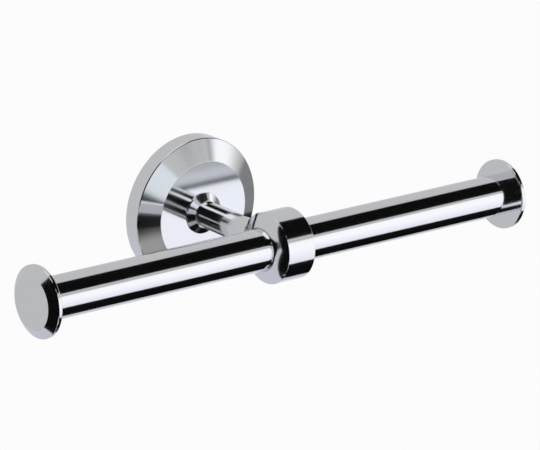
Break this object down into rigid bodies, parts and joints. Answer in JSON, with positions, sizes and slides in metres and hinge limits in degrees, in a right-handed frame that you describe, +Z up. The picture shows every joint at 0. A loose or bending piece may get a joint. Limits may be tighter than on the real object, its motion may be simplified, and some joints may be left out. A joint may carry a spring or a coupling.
{
  "type": "double toilet roll holder",
  "caption": "Wall-mounted chrome holder for two toilet rolls: bevelled round rosette, straight post, thick ring hub and a crosswise bar with a flanged cap at each end.",
  "frame": {"origin": "middle of the wall bracket's back face, on the wall", "axes": "+X to the right along the bar as seen from the room, +Y into the wall, +Z up"},
  "size_m": [0.285, 0.088, 0.0712],
  "materials": {
    "polished_chrome": "polished",
    "zinc_casting": "satin",
    "plated_steel": "satin",
    "turned_brass": "satin"
  },
  "bodies": {
    "root": {"wall_bracket": "zinc_casting", "rosette_cover": "polished_chrome", "rosette_grub_screw": "plated_steel", "post_backing_washer": "plated_steel", "post_lock_washer": "plated_steel", "post_fixing_bolt": "plated_steel", "post_foot_pin": "plated_steel", "post_collar": "polished_chrome", "post": "polished_chrome", "post_head_pin": "plated_steel", "hub_stud": "plated_steel", "ring_hub": "polished_chrome", "bar_tube": "polished_chrome", "bar_core": "turned_brass", "left_tube_plug": "turned_brass", "left_cap_stud": "plated_steel", "left_end_cap": "polished_chrome", "right_tube_plug": "turned_brass", "right_cap_stud": "plated_steel", "right_end_cap": "polished_chrome"}
  },
  "joints": []
}
